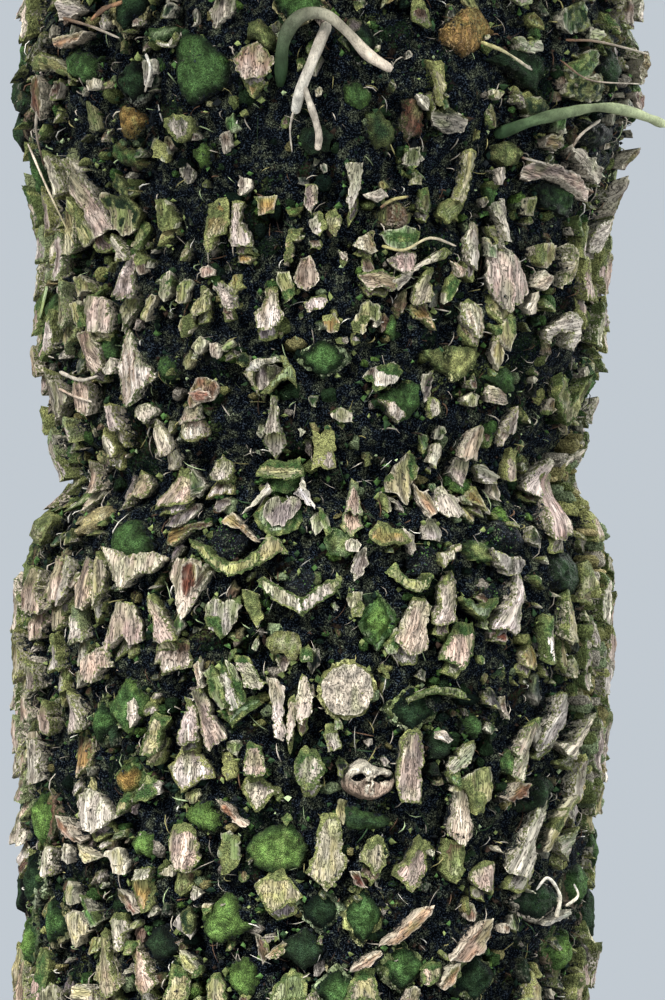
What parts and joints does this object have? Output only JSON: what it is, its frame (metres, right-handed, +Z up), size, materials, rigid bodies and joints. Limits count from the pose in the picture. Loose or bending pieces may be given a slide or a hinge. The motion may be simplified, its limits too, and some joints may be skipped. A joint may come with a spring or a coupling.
{
  "type": "giant dioon cycad",
  "caption": "Cycad with a stout trunk armoured with old leaf bases and a full crown of stiff, feather-like fronds.",
  "frame": {"origin": "middle of the flat cut under the trunk, at ground level", "axes": "+Z up along the trunk, -Y towards the pictured front, +X to the right of that front"},
  "size_m": [3.4224, 3.2906, 2.8136],
  "materials": {
    "trunk_bark": "rough leaf bases, grey-tan and mossy green in black fibre",
    "frond_green": "leathery green leaflets, satin",
    "bud_scale": "felted pale brown scales",
    "dried_root": "dry, pale grey-green skin"
  },
  "bodies": {
    "root": {"crown_bud": "bud_scale", "frond_01": "frond_green", "frond_02": "frond_green", "frond_03": "frond_green", "frond_04": "frond_green", "frond_05": "frond_green", "frond_06": "frond_green", "frond_07": "frond_green", "frond_08": "frond_green", "frond_09": "frond_green", "frond_10": "frond_green", "frond_11": "frond_green", "frond_12": "frond_green", "frond_13": "frond_green", "frond_14": "frond_green", "frond_15": "frond_green", "frond_16": "frond_green", "frond_17": "frond_green", "frond_18": "frond_green", "frond_19": "frond_green", "frond_20": "frond_green", "frond_21": "frond_green", "frond_22": "frond_green", "frond_23": "frond_green", "frond_24": "frond_green", "frond_25": "frond_green", "frond_26": "frond_green", "frond_27": "frond_green", "frond_28": "frond_green", "frond_29": "frond_green", "frond_30": "frond_green", "frond_31": "frond_green", "frond_32": "frond_green", "frond_33": "frond_green", "frond_34": "frond_green", "frond_35": "frond_green", "frond_36": "frond_green", "frond_37": "frond_green", "frond_38": "frond_green", "frond_39": "frond_green", "frond_40": "frond_green", "frond_41": "frond_green", "frond_42": "frond_green", "root_arch": "dried_root", "root_hanging": "dried_root", "root_side": "dried_root", "trunk": "trunk_bark"}
  },
  "joints": []
}
